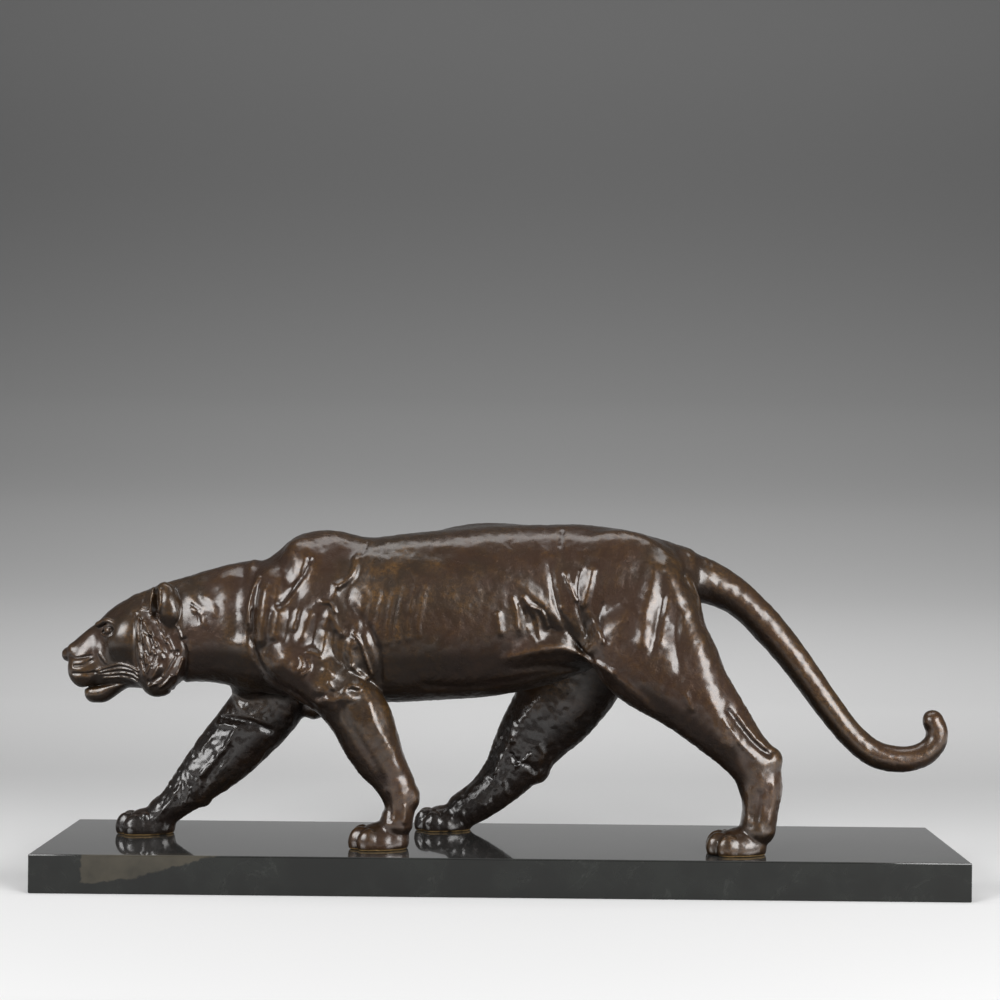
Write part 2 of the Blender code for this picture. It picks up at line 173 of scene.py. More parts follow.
def addStroke(clay, points, width=3, height=1, side=-1, middle=0.0, soft=4.0):
    # a modelling stroke on one flank: the skin rises by height * exp(-(distance / width) squared)
    # from a line drawn in the side view as x, z or as x, z, width, height
    rows = np.asarray(points, float)
    if rows.shape[1] == 2:
        rows = np.hstack([rows, np.tile([float(width), float(height)], (len(rows), 1))])
    line = curveThrough(rows, 5) if len(rows) > 2 else rows
    margin = 3.0 * line[:, 2].max()
    low = np.array([line[:, 0].min() - margin, -100, line[:, 1].min() - margin])
    high = np.array([line[:, 0].max() + margin, 100, line[:, 1].max() + margin])
    low[1] = middle - soft if side > 0 else low[1]
    high[1] = middle + soft if side < 0 else high[1]

    def shape(x, y, z, f):
        best = np.full(np.broadcast_shapes(x.shape, z.shape), 1e9)
        wide = np.ones_like(best)
        tall = np.zeros_like(best)
        for a, b in zip(line[:-1], line[1:]):
            run = b[:2] - a[:2]
            t = np.clip(((x - a[0]) * run[0] + (z - a[1]) * run[1]) / (run @ run + 1e-12), 0, 1)
            gap = (x - a[0] - t * run[0])**2 + (z - a[1] - t * run[1])**2
            near = gap < best
            best = np.where(near, gap, best)
            wide = np.where(near, a[2] + (b[2] - a[2]) * t, wide)
            tall = np.where(near, a[3] + (b[3] - a[3]) * t, tall)
        lift = tall * np.exp(-best / np.maximum(wide, 0.05)**2)
        return f - lift * smoothStep(0.5 + side * (y - middle) / (2 * soft))

    clay.append((low, high, shape))


def addStrokes(clay, rows, side, middle, forward=0, soft=4.0):
    # a table of strokes, its rows as noted above ruffStrokes
    for row in rows:
        plain = not isinstance(row[0], tuple)
        width, height = row[:2] if plain else (0, 0)
        points = np.reshape(row[2:], (-1, 2)) if plain else np.array(row, float)
        points = points + [forward, *[0] * (points.shape[1] - 1)]
        addStroke(clay, points, width, height, side, middle, soft)


def cutSoles(clay, blend=1.0):
    # the flat soles, at z = 0
    def shape(x, y, z, f):
        return softMax(f, -z, blend) + 0 * x

    clay.append((np.full(3, -1e3), np.full(3, 1e3), shape))


def fieldAt(clay, points):
    # the field at loose points, one row each
    f = np.full(len(points), 1e3)
    for low, high, shape in clay:
        inside = np.all((points > low) & (points < high), axis=1)
        if inside.any():
            x, y, z = points[inside].T
            f[inside] = shape(x, y, z, f[inside])
    return f


def fieldInBricks(clay, low, high, cell, side=12):
    # the field on a grid, worked out only in the bricks of side**3 cells that the skin may cross
    low = np.array(low, float)
    count = np.ceil((np.array(high) - low) / (cell * side)).astype(int)
    middles = [low[i] + (np.arange(count[i]) + 0.5) * cell * side - cell / 2 for i in range(3)]
    middles = np.stack(np.meshgrid(*middles, indexing="ij"), -1).reshape(-1, 3)
    coarse = fieldAt(clay, middles)
    kept = np.nonzero(np.abs(coarse) < cell * side + 3.0)[0]
    place = np.stack(np.unravel_index(kept, count), 1)
    x, y, z = (low[i] + (place[:, i, None] * side + np.arange(side)) * cell for i in range(3))
    x, y, z = x[:, :, None, None], y[:, None, :, None], z[:, None, None, :]
    f = np.full((len(kept), side, side, side), 1e3)
    start = low + place * side * cell
    end = start + (side - 1) * cell
    for lumpLow, lumpHigh, shape in clay:
        met = np.all((end > lumpLow) & (start < lumpHigh), axis=1)
        if met.any():
            f[met] = shape(x[met], y[met], z[met], f[met])
    whole = np.empty((*count, side, side, side), np.float32)
    whole[:] = np.where(coarse < 0, -1e3, 1e3).reshape(count)[..., None, None, None]
    whole[tuple(place.T)] = f
    whole = whole.transpose(0, 3, 1, 4, 2, 5).reshape(count * side)
    print("clay sampled:", len(kept), "bricks of", len(middles))
    return whole


def skinOf(f, low, cell):
    # surface nets: one point in each cell that the skin crosses, the mean of its edge crossings,
    # and one quad round each grid edge that the skin crosses
    inside = f < 0
    size = np.array(f.shape) - 1
    corners = np.zeros(size, np.uint8)
    for a, b, c in np.ndindex(2, 2, 2):
        corners += inside[a:size[0] + a, b:size[1] + b, c:size[2] + c]
    crossed = (corners > 0) & (corners < 8)
    i, j, k = np.nonzero(crossed)
    number = np.full(crossed.shape, -1, np.int32)
    number[i, j, k] = np.arange(len(i))
    corner = {abc: f[i + abc[0], j + abc[1], k + abc[2]].astype(float) for abc in np.ndindex(2, 2, 2)}
    total = np.zeros((len(i), 3))
    met = np.zeros(len(i))
    for axis in range(3):
        for u, v in np.ndindex(2, 2):
            start = [u, v]
            start.insert(axis, 0)
            end = list(start)
            end[axis] = 1
            fa, fb = corner[tuple(start)], corner[tuple(end)]
            cut = (fa < 0) != (fb < 0)
            share = np.where(cut, fa / np.where(cut, fa - fb, 1), 0)
            for d in range(3):
                total[:, d] += np.where(cut, start[d] + (share if d == axis else 0), 0)
            met += cut
    points = np.array(low, float) + (np.stack([i, j, k], 1) + total / met[:, None]) * cell
    quads = []
    for axis in range(3):
        here, there = [slice(None)] * 3, [slice(None)] * 3
        here[axis], there[axis] = slice(0, -1), slice(1, None)
        a, b = inside[tuple(here)], inside[tuple(there)]
        edge = np.nonzero(a != b)
        p, q = [d for d in range(3) if d != axis]
        kept = (edge[p] > 0) & (edge[q] > 0) & (edge[p] < f.shape[p] - 1) & (edge[q] < f.shape[q] - 1)
        edge = [e[kept] for e in edge]
        ring = []
        for dp, dq in ((1, 1), (0, 1), (0, 0), (1, 0)):
            cellPlace = list(edge)
            cellPlace[p] = edge[p] - dp
            cellPlace[q] = edge[q] - dq
            ring.append(number[tuple(cellPlace)])
        ring = np.stack(ring, 1)
        forward = a[tuple(edge)] != (axis == 1)
        quads.append(np.where(forward[:, None], ring, ring[:, ::-1]))
    return points, np.vstack(quads)


def splitQuads(points, quads):
    # two triangles from each quad, cut across its shorter diagonal
    a, b, c, d = (points[quads[:, i]] for i in range(4))
    first = ((a - c)**2).sum(1) < ((b - d)**2).sum(1)
    one = np.where(first[:, None], quads[:, [0, 1, 2]], quads[:, [0, 1, 3]])
    two = np.where(first[:, None], quads[:, [0, 2, 3]], quads[:, [1, 2, 3]])
    return np.vstack([one, two])


def halveEdges(points, triangles, chosen):
    # every edge between two chosen points gets a middle point: a triangle with three such edges
    # becomes four, one with a single such edge becomes two
    turned = np.concatenate([triangles, np.roll(triangles, -1, 1), np.roll(triangles, -2, 1)])
    edges = np.sort(turned[:, :2], axis=1)
    cut = chosen[edges].all(1)
    pairs, where = np.unique(edges[cut], axis=0, return_inverse=True)
    middle = np.full(len(edges), -1)
    middle[cut] = len(points) + where.reshape(-1)
    middle = middle.reshape(3, -1).T
    points = np.vstack([points, points[pairs].mean(1)])
    known = (middle >= 0).sum(1)
    whole = triangles[known == 0]
    t, m = triangles[known == 3], middle[known == 3]
    quarters = [np.stack([t[:, 0], m[:, 0], m[:, 2]], 1), np.stack([t[:, 1], m[:, 1], m[:, 0]], 1),
                np.stack([t[:, 2], m[:, 2], m[:, 1]], 1), m]
    halves = []
    for i in range(3):
        only = (known == 1) & (middle[:, i] >= 0)
        t, m = np.roll(triangles[only], -i, 1), middle[only, i]
        halves += [np.stack([t[:, 0], m, t[:, 2]], 1), np.stack([m, t[:, 1], t[:, 2]], 1)]
    return points, np.vstack([whole, *quarters, *halves])


def settle(clay, points, steps=2, limit=0.6, probe=0.2):
    # moves points onto the skin by Newton steps along the field's gradient
    for _ in range(steps):
        f = fieldAt(clay, points)
        slope = np.stack([fieldAt(clay, points + probe * e) - fieldAt(clay, points - probe * e)
                          for e in np.eye(3)], 1) / (2 * probe)
        move = -f[:, None] * slope / np.maximum((slope**2).sum(1), 0.2)[:, None]
        length = np.linalg.norm(move, axis=1, keepdims=True)
        points = points + move * np.minimum(1, limit / np.maximum(length, 1e-9))
    return points


def normalsOf(points, triangles):
    a, b, c = (points[triangles[:, i]] for i in range(3))
    face = np.cross(b - a, c - a)
    normal = np.stack([sum(np.bincount(triangles[:, i], face[:, d], len(points)) for i in range(3))
                       for d in range(3)], 1)
    return normal / np.maximum(np.linalg.norm(normal, axis=1, keepdims=True), 1e-12)


def smoothed(points, triangles, rounds):
    # each round moves a point halfway to the mean of its neighbours
    starts = triangles.ravel()
    ends = np.roll(triangles, -1, 1).ravel()
    count = np.bincount(starts, minlength=len(points)).astype(float)[:, None]
    for _ in range(rounds):
        mean = np.stack([np.bincount(starts, points[ends, d], len(points)) for d in range(3)], 1) / count
        points = 0.5 * (points + mean)
    return points


# The animal. Lumps come first, then the strokes of the modelling tool.

headMiddle = -9
earTurn = 38                       # degrees that the ears look outwards
left, right = -1, 1


def modelTrunk(clay):
    # x, top, bottom, half width, middle y
    addBarrel(clay, [(-238, 212, 130, 24, -8), (-215, 218, 124, 30, -8), (-190, 224, 118, 36, -9),
                     (-160, 231, 114, 42, -8), (-125, 239, 113, 45, -7), (-90, 244.5, 111, 47, -6),
                     (-50, 249, 113, 48, -4), (-10, 253, 116, 46, -2), (30, 254, 124, 42, -1),
                     (65, 254.5, 136, 40, 0), (100, 250, 152, 38, 0), (128, 243, 172, 32, 0),
                     (146, 237, 192, 23, 0)], cap=12, power=2.25, blend=6)
    addBarrel(clay, [(-292, 196, 128, 22, -9), (-270, 205, 124, 25, -9), (-245, 212.5, 126, 27, -9),
                     (-222, 219.5, 125, 31, -9), (-200, 224, 120, 36, -9)], cap=14, power=2.1, blend=8)


def modelHead(clay):
    skull = ((-347, 153, 141, 7.5), (-341, 159.5, 131, 11.5), (-333, 166.5, 124, 14),
             (-324, 173.5, 121, 15.5), (-315, 182.5, 121, 18), (-304, 190, 121, 22.5),
             (-291, 195, 121, 27), (-278, 199, 119, 28), (-264, 202, 119, 27))
    addBarrel(clay, [(*row, headMiddle) for row in skull], cap=6, power=2.15, blend=5)
    jaw = ((-290, 130, 9, 14), (-300, 128, 7, 12), (-307, 124.3, 6.8, 10.5), (-313, 121, 7.5, 9.5),
           (-320, 117.2, 8.4, 8.8), (-326.5, 116.6, 8.2, 8.5))
    addTube(clay, [(x, headMiddle, *rest) for x, *rest in jaw], blend=3)
    for side in (left, right):
        addMass(clay, (-295.5, headMiddle + side * 18, 163), (15, 11.5, 19), pitch=-22)
        addMass(clay, (-272.5 - 2.5 * side, headMiddle + side * 17, 141), (19, 14, 26), pitch=-10)
        addMass(clay, (-334, headMiddle + side * 8, 135.8), (12, 8.5, 14.8), pitch=8, blend=4)
        addMass(clay, (-342, headMiddle + side * 5, 151), (5.5, 5.5, 5.5), blend=4)
        addMass(clay, (-265, headMiddle + side * 20, 187), (10, 13, 19.5), pitch=10, yaw=-side * earTurn,
                blend=2.5)


# A row is an ellipsoid's centre, radii, pitch and blend, or a tube's places and blend
shoulders = (
    ((-199, 14, 148), (27, 22, 42), -10, 14),
    ((-172, 20, 186), (34, 22, 44), 20, 16),
    ((-144, -12, 220), (42, 24, 28), 5, 14),
    ((-146, -26, 198), (27, 23, 46), 26, 12),
    ((-172, -30, 176), (25, 22, 44), 12, 12),
    ((-165, -34, 148), (25, 21, 24), 10, 10),
    ((-122, -34, 160), (21, 17, 36), 14, 8),
)
forelegs = (
    (((-164, -36, 148, 25, 19), (-146, -40, 136, 25, 19), (-126, -41, 121, 22, 18)), 8),
    (((-122, -40, 116, 23, 17), (-111, -40, 103, 24, 17.5), (-103, -39, 85, 22.5, 16.5),
      (-96, -38, 70, 19.5, 15), (-88, -37, 58, 16.5, 13.5), (-81, -37, 45, 14.5, 12.5),
      (-79.5, -36.5, 32, 12, 12), (-82, -36, 20, 13, 13.5)), 6),
    ((-70, -37, 39.5), (6.2, 7, 10), 0, 4),
    (((-176, 18, 146, 36, 20), (-186, 20, 122, 33, 20), (-194, 20, 103, 29.5, 19),
      (-208, 20, 85, 27.5, 18), (-228, 19, 63, 25, 16), (-250, 17, 41, 19, 14),
      (-266, 16, 25, 13.8, 13), (-276, 16, 17, 13, 14)), 8),
    ((-155, 22, 104), (13, 12, 11), 0, 6),
    ((-245, 17, 28), (8, 8, 7), 0, 4),
    ((-288.5, 4, 15.5), (3, 2.6, 3), 0, 1.5),
)
haunches = (
    ((92, -22, 200), (50, 23, 50), -10, 14),
    ((108, -28, 178), (36, 22, 50), -50, 10),
    ((134, -26, 188), (21, 21, 46), 16, 12),
    ((149, -37, 150), (20, 18, 37), 24, 14),
    (((92, -36, 172, 34, 19), (112, -40, 150, 37, 20), (142, -42, 128, 33, 19),
      (166, -43, 104, 26.5, 16.5), (184, -44, 84, 21, 14), (197, -45, 68, 19, 13),
      (202, -45, 51, 17, 12.5), (202, -45, 35, 14, 12.5), (200, -45, 20, 14, 14)), 8),
    ((207, -45, 73), (12, 10, 11), 0, 5),
    ((66, 22, 200), (50, 24, 48), 14, 14),
    ((112, 18, 198), (34, 22, 38), -10, 14),
    ((-10, 16, 232), (60, 24, 23), 0, 10),
    (((76, 34, 160, 40, 20), (60, 40, 130, 40, 20), (43, 42, 102, 36, 19),
      (26, 43, 80, 30, 17), (15, 43, 62, 26, 15.5), (3, 43, 45, 21, 14),
      (-14, 43, 28, 17, 13.5), (-32, 43, 16, 15, 14)), 8),
    ((28, 43, 49), (11, 10, 10), 0, 5),
)


def modelLimbs(clay):
    for row in (*shoulders, *forelegs, *haunches):
        if len(row) == 2:
            addTube(clay, *row)
        else:
            addMass(clay, row[0], row[1], pitch=row[2], blend=row[3])


def modelTail(clay):
    addTube(clay, [(140, 0, 214, 22, 20), (162, 0, 210, 18, 16), (182, 0, 201, 15.2, 14.5),
                   (196.5, -1, 190, 13.8, 13.5), (212, -2, 174.5, 13.6, 13.3), (229, -4, 154.5, 12.5, 12.5),
                   (245.5, -6, 132.5, 11.7, 11.7), (262.5, -8, 109, 11, 11), (280, -10, 87.5, 10.4, 10.4),
                   (298.5, -12, 73.5, 10.6, 10.6), (320, -14, 70, 10.2, 10.2), (336, -15, 74.5, 9.4, 9.4),
                   (345, -15, 84, 8.8, 8.8), (346, -15, 94, 8.6, 8.6), (343, -15, 101.5, 8.2, 8.2)], blend=6)


pawPlaces = ((-92.5, -36), (-287, 16), (186.5, -45), (-46, 43))
toes = ((-10, -11, 0.93), (-17, -4.2, 1.0), (-16.5, 4.2, 1.0), (-10, 11, 0.93))   # forward, across, size


def modelPaws(clay):
    for x, y in pawPlaces:
        addMass(clay, (x - 2, y, 4.5), (19, 15.5, 15.5), blend=6)
        addMass(clay, (x + 11, y, 6), (9.5, 12, 12), blend=4)
        for forward, across, size in toes:
            addMass(clay, (x + forward, y + across, 5.5), (10 * size, 5.9 * size, 11.8 * size), blend=1.5)


# Modelling strokes. A row is width, height and then x, z along the stroke, or else places of x, z,
# width, height. The first table has the tufts of the cheek ruff and the cuts between them.
ruffStrokes = (
    (1.2, 1.3, -286.3, 177.2, -285.9, 168.6, -285.1, 160.7),
    (1, 1, -285.5, 158.3, -283.9, 147.3),
    (2, 1.5, -281.2, 174.9, -278.8, 171, -276.5, 165.5),
    (0.9, 1.4, -276.1, 166.3, -272.9, 160.8, -271.3, 156.1),
    (1.3, 1.5, -280, 164.7, -278.4, 158.4, -275.7, 151.3),
    (0.9, 0.9, -282.8, 167, -281.6, 158.3),
    (0.9, 1.1, -273.7, 153.3, -272.1, 149.8),
    (1.2, 1.2, -271.3, 161.6, -269, 158.9),
    (1.5, 1.4, -268.2, 156.9, -265, 152.2),
    (0.9, 1.1, -280.4, 150.5, -279.2, 142.6),
    (0.9, 1.1, -278.8, 148.1, -276.9, 142.6),
    (1, 1, -282.8, 141.8, -281.2, 133.1),
    (1.2, 1.2, -267.8, 151.4, -265.4, 147.5),
    (1.3, 1.1, -262.7, 160.9, -259.5, 153.8),
    (1, 0.9, -266.6, 165.6, -263.4, 159.3),
    (1.8, 1.7, -274.1, 130, -271.3, 135.6, -268.6, 140.3),
    (0.9, 0.9, -278.4, 135.5, -275.3, 141.9),
    (1.1, 1.3, -265.8, 133.3, -261.9, 139.6, -257.4, 148.3),
    (1.1, 1.2, -255.6, 133.4, -253.2, 139.7, -251.3, 146),
    (1.1, 1.3, -268.2, 123.8, -263.8, 127.4, -259.5, 132.6),
    (1, 1, -276.9, 124.5, -271.3, 126.9),
    (1, 0.9, -261.9, 123.1, -257.1, 127.8),
    (1, 1.2, -255.9, 172, -253.6, 167.3, -252.1, 162.6),
    (1, 0.8, -249.3, 159.5, -246.1, 152.4),
    (1, 0.9, -271.7, 175.8, -266.6, 168),
    (1, 1, -284.7, 185.5, -280, 184.8),
    (1.6, -1.4, -255.6, 151.5, -261.1, 140.4, -267.4, 132.9, -276.9, 128.4),
    (1, -1, -284.1, 176.5, -283.2, 165.4, -282, 152.8, -280.4, 138.6),
    (2.2, -1.8, -250, 161, -248.9, 148.4, -252.4, 132.6, -261.1, 120.7),
    (0.8, -0.8, -275.3, 163.9, -273.7, 157.6),
    (0.9, -0.9, -271.3, 149, -274.5, 140.3),
)
neckStrokes = (
    (3, 0.8, -246.1, 194.2, -239, 187.9, -231.9, 184.9),
    (2.2, 0.9, -243, 185.5, -236.6, 181.7, -234.3, 173.8),
    (3, 0.9, -234.3, 195.9, -228.8, 191.2, -226.4, 183.3),
    (0.9, -0.8, -245.3, 189.4, -237.4, 184),
    (0.9, -0.7, -239.8, 183.2, -237.4, 175.3),
)
faceStrokes = (                    # the ear's rims and slot, nose, muzzle, mouth, whiskers, jaw
    (1.1, 1.3, -276.3, 201, -278, 192, -276.6, 182),
    (1.1, 1.1, -269.3, 201, -267.8, 192, -269.5, 183),
    (1.7, -2.2, -273.2, 199, -273.4, 191.5, -272.6, 184),
    ((-343.5, 146.3, 1.1, -0.8), (-337.8, 144.8, 1.2, -1.2), (-326.7, 146.9, 1.2, -0.9)),
    (5, -1.0, -323, 160, -323.5, 152, -320, 143),
    (1.2, 0.7, -319.5, 149.4, -313.4, 141.7),
    (1.1, -1.0, -339.1, 138.9, -332, 139.6, -325.4, 143.6),
    (1.1, -0.9, -339.8, 133, -328, 133.1, -321.5, 134.4),
    ((-337, 120.3, 0.9, -0.8), (-333, 120.6, 1.0, -1.3), (-322.8, 122.3, 1.1, -2.0),
     (-309.7, 124.3, 1.1, -1.6), (-300.6, 125.3, 1.0, -0.6)),
    (0.95, 1.1, -321.8, 135.2, -313, 138.3, -302.6, 141.2, -295, 140.3, -286.4, 136.5),
    (0.95, 1.1, -319.8, 133.8, -312.3, 135.6, -300.7, 137.8, -291.2, 136.4, -286.9, 133.3),
    (0.95, 1.1, -319.8, 132, -310.3, 132.8, -300.7, 134.2, -292, 133, -287.3, 130.2),
    (0.95, 1.1, -316, 129.6, -308, 130.2, -300.7, 130.7, -293, 129.3, -288.3, 127.2),
    (1.5, -1.1, -288.5, 180, -287.5, 165, -288, 149, -286, 140),
)


def modelFace(clay):
    for side in (left, right):
        def tube(stations, blend):
            rows = [(x, headMiddle + side * y, z, tall, wide) for x, y, z, tall, wide in stations]
            addTube(clay, rows, blend=blend)

        addMass(clay, (-319.5, headMiddle + side * 21.5, 160), (5.5, 5.5, 11.5), pitch=15, blend=3, cut=True)
        addMass(clay, (-312.5, headMiddle + side * 24.5, 167.3), (7, 7.5, 5.8), blend=1.5, cut=True)
        addMass(clay, (-311, headMiddle + side * 17.3, 167.3), (4.3, 4.2, 3.9), blend=0.8)
        tube([(-321, 12.5, 172, 2.4, 3), (-312.5, 17.5, 175.5, 2.4, 3), (-303, 21, 172, 2.2, 2.6)], 4)
        tube([(-318, 15, 165.5, 0.9, 1), (-314.5, 18, 170.5, 1, 1.2), (-310, 19.6, 171.6, 1, 1.2),
              (-305.5, 20.8, 168.5, 0.9, 1)], 1.5)
        tube([(-317.5, 15.5, 164.5, 0.8, 0.9), (-313.5, 18.2, 163, 0.9, 1), (-309, 20, 164, 0.9, 1),
              (-305.5, 20.8, 167.5, 0.8, 0.9)], 1.5)
        for x, y, z, radii in ((-273.5, 25, 190, (5.5, 6.5, 13)), (-268, 24, 188, (6, 3.2, 11))):
            addMass(clay, (x, headMiddle + side * y, z), radii, pitch=8, yaw=-side * earTurn,
                    blend=0.8, cut=True)
        tube([(-277, 15.5, 200, 1.4, 1.4), (-278.5, 17.5, 190, 1.5, 1.5), (-277, 19, 179, 1.4, 1.4)], 2)
        addStrokes(clay, (*faceStrokes, *ruffStrokes, *neckStrokes), side, headMiddle, soft=3)


# The right flank repeats the left one's strokes further forward, by these distances, because its legs
# stride further forward.
strideOf = {"shoulder": {left: 0, right: -20}, "haunch": {left: 0, right: -26}}

shoulderStrokes = (
    (1.7, 1.7, -191.9, 211.3, -196.6, 197.2, -198.9, 175.5),
    (8, -2.8, -205, 213, -207, 192, -206, 170),
    (1.6, -1, -195, 184.9, -195, 170.9, -194.2, 159.3),
    (4.6, 2.4, -184.5, 202, -187, 182.5, -188.5, 163),
    (1.8, -0.9, -191, 202, -193, 184.9, -194, 167.8),
    (2.2, -0.9, -180.7, 185, -183, 167.9, -183.8, 153.9),
    (3.2, 0.9, -175.2, 209.9, -176.8, 197.4),
    (5.4, 2.5, -173.5, 183, -175.5, 175.5, -177, 167),
    (2.2, -0.6, -165.1, 185.1, -167.2, 171.2, -168.8, 160.7),
    (1.9, 1.2, -158.5, 186, -160.3, 179.5, -162, 172),
    (4.6, 2.4, -150.3, 182, -152.6, 174.4, -154.7, 166),
    (2.2, -0.7, -143.8, 180.7, -145.5, 169.8, -147.1, 161.7),
    (2.2, 1.3, -134.9, 183.9, -138, 174.5),
    (2.8, 1.5, -131.8, 180.8, -128.7, 173.9, -124.3, 168.7),
    (3.9, 2.3, -137.8, 167.5, -138.6, 155.5),
    (2.2, -0.8, -130.2, 168.4, -131.8, 156, -127.1, 145.2),
    (10.5, 3.2, -168, 147.5, -160, 142),
    (1.1, 0.9, -155.8, 151.1, -153.5, 145.7, -155.8, 140.3),
    (1, 0.9, -149.6, 148.8, -147.3, 142.7, -153.5, 137.2),
    (1.6, 1.4, -150.4, 155, -145.8, 153.9, -140.3, 150.9),
    (2, -0.5, -148.1, 159.7, -142.7, 155.9),
    (4, 2, -135.4, 142, -132.3, 137.9),
    (4.2, 2.3, -117.4, 161.5, -118, 154, -116.5, 145.5),
    (2.2, -0.7, -123.3, 163.8, -124, 152.2, -121.7, 142.1),
    (1.3, 1.5, -115.5, 168.6, -110.1, 162.4, -106.2, 150.8, -101.9, 136.9),
    (1.7, 1.3, -116.3, 143, -111.6, 138.4),
    (1.5, 1.2, -110.1, 137.6, -104.6, 133),
    (2.4, -2, -151.2, 224.8, -155.8, 212.4, -164.4, 200.7, -172.9, 190.5),
    (2.2, 1, -155.8, 210.1, -161.3, 200.7, -165.9, 192.9),
    (3, 2.7, -114.7, 226.5, -117.5, 215.1, -122, 209.5, -127.9, 206),
    (1.4, 1.6, -140.3, 193.2, -134.1, 192.1, -129.5, 185.5),
    (3, 1.2, -129.5, 204.1, -131.8, 196.3),
    (2.2, -1.3, -197.7, 167.8, -192.3, 151.5, -186.1, 140, -173.7, 129.2, -159.7, 122.4, -146.5, 112.4),
    (9, -1.5, -176, 232, -166, 206),
    (1.2, -0.8, -108, 238, -110.5, 230),
    ((-108, 232, 3.5, -0.6), (-109, 217.5, 4.5, -1.3), (-118, 204.2, 4.5, -1.4), (-120, 195.6, 4.5, -1.5),
     (-116, 186.8, 4.2, -1.5), (-108, 178.2, 4, -1.7), (-101, 167.3, 3.4, -2.1), (-96.5, 156.5, 3, -2.3),
     (-95, 143.5, 2.8, -2.2), (-95, 132, 2.6, -1.6)),
)
leftArmStrokes = (
    (2.2, 1.3, -121.7, 125.1, -116.3, 129, -110.1, 126.7),
    (3.6, 1.5, -139.5, 124.9, -134.1, 119.5, -130.2, 112.6),
    (1.1, 0.9, -133.3, 131.2, -129.5, 125.8),
    (2.0, -1.0, -140.3, 120.3, -122.7, 125.9, -110.7, 125, -103, 132),
    (3, 1.1, -142, 115, -128, 119, -112, 119),
    (4.2, 1.4, -110, 130, -103, 118, -97, 98, -87, 82, -80, 64),
    (3.4, -0.7, -124, 112, -110, 88, -98, 68, -89, 50),
    (2, -0.8, -88, 44, -86, 32, -86, 24),
    (2, 0.8, -75, 34, -75, 22),
)
flankStrokes = (
    (5, -0.8, -95, 231, -60, 231, -26, 226, 11, 214, 32, 203),
    (4, 0.9, -10, 221, 17.8, 206.7, 35.8, 184),
    ((24, 178, 10, -3.5), (36, 172, 9, -3)),
    (2, 1.2, 7.8, 196.9, 10.9, 186, 12.5, 173.4),
    (2, 1.3, 15.6, 197.8, 21.9, 189.2, 26.6, 179.8, 28.9, 167.3),
    (1.8, 1.2, 21.9, 190.8, 30.5, 186.2, 35.2, 175.2),
    (1.6, 1, 18.7, 181.3, 21.1, 172, 25, 164.1),
    (1.1, -0.8, 12.5, 192.3, 18, 181.3, 22.7, 168.8),
    (1.1, -0.9, 25, 193.2, 32.9, 186.2, 37.6, 173.7),
    (2.4, 1.3, -4, 184.3, -1.6, 170.2),
)
haunchStrokes = (
    ((0, 149, 3, 0.6), (14, 152.5, 4, 2.4), (30.5, 156.5, 4.6, 3.6), (46.2, 157.5, 4.6, 3.6),
     (61.1, 152.5, 3.6, 2.8), (73.6, 146.5, 3, 1.8), (85.4, 140.5, 2.6, 1)),
    (4.5, -1.2, 14, 164, 32, 170, 50, 170),
    ((1.5, 142, 3, -0.6), (15.6, 141.5, 3.2, -1.6), (34.4, 143.5, 3.4, -2.2), (55.6, 142.5, 3.2, -2),
     (72.1, 138, 2.6, -1)),
    ((36, 222.3, 2.4, -0.8), (40.7, 197.2, 2.4, -2.2), (46.2, 182.4, 2.4, -2.2), (58, 162.1, 2.2, -2),
     (70.5, 148.9, 2, -1.6)),
    (1.6, 1.3, 44.6, 189.4, 50.5, 174.2, 65.8, 155.1),
    (4.5, 1, 32.1, 232.4, 41.5, 230.2),
    (1.6, 1.6, 48.5, 216.1, 52.5, 205.2, 57.2, 195.8),
    (3.4, 2, 68.9, 219, 66.6, 206.9, 63, 193),
    (2.2, 1.1, 66.6, 186.5, 72.1, 177.2, 77.6, 164.7),
    (1.9, -1.3, 60.3, 217.8, 58, 203.7, 59.5, 186.4, 67.4, 164.6),
    (1.6, -0.8, 77.6, 192.9, 75.2, 180.3, 79.9, 164.7),
    (1.8, -1.2, 46.2, 248.3, 44.6, 238.1),
)
thighBands = (
    (6.4, 2.3, 117.6, 224, 113.3, 197.9, 108, 166),
    (2.6, -1.0, 124.3, 198, 119.6, 176.8, 114.8, 156),
    (6, 1.7, 125.4, 221.6, 131.7, 212.2, 136.4, 200),
    (2.6, 0.7, 127.7, 196.5, 122.3, 165.1),
)
leftThighStrokes = (
    (11.5, 2.8, 143, 185, 151.3, 165.4, 158, 141.9, 163.8, 114.5, 171.5, 89),
    (3, -0.9, 136.4, 187.2, 133.2, 165.2, 136.4, 143.3),
    (2.2, -1.9, 174.8, 112.3, 187.3, 95.9, 198.3, 84.3, 207, 78.1),
    (1.8, 1, 170.9, 106, 183.4, 88.9, 194.4, 77.2),
    (1.8, 0.9, 181.9, 109.2, 194.4, 92.9, 204.6, 83.6),
    (2.2, 0.9, 192.8, 51.3, 191.3, 40.3, 190.5, 27.8),
    (2.6, 1, 210.1, 56.2, 210.1, 40.5, 207, 27.9),
    (1.8, -0.9, 199.9, 48.2, 198.3, 27.8),
    (3, 0.9, 84.6, 139.6, 98.7, 128.8, 116, 113.3),
    (2.4, 0.9, 141.1, 126.1, 145.8, 114.4),
)
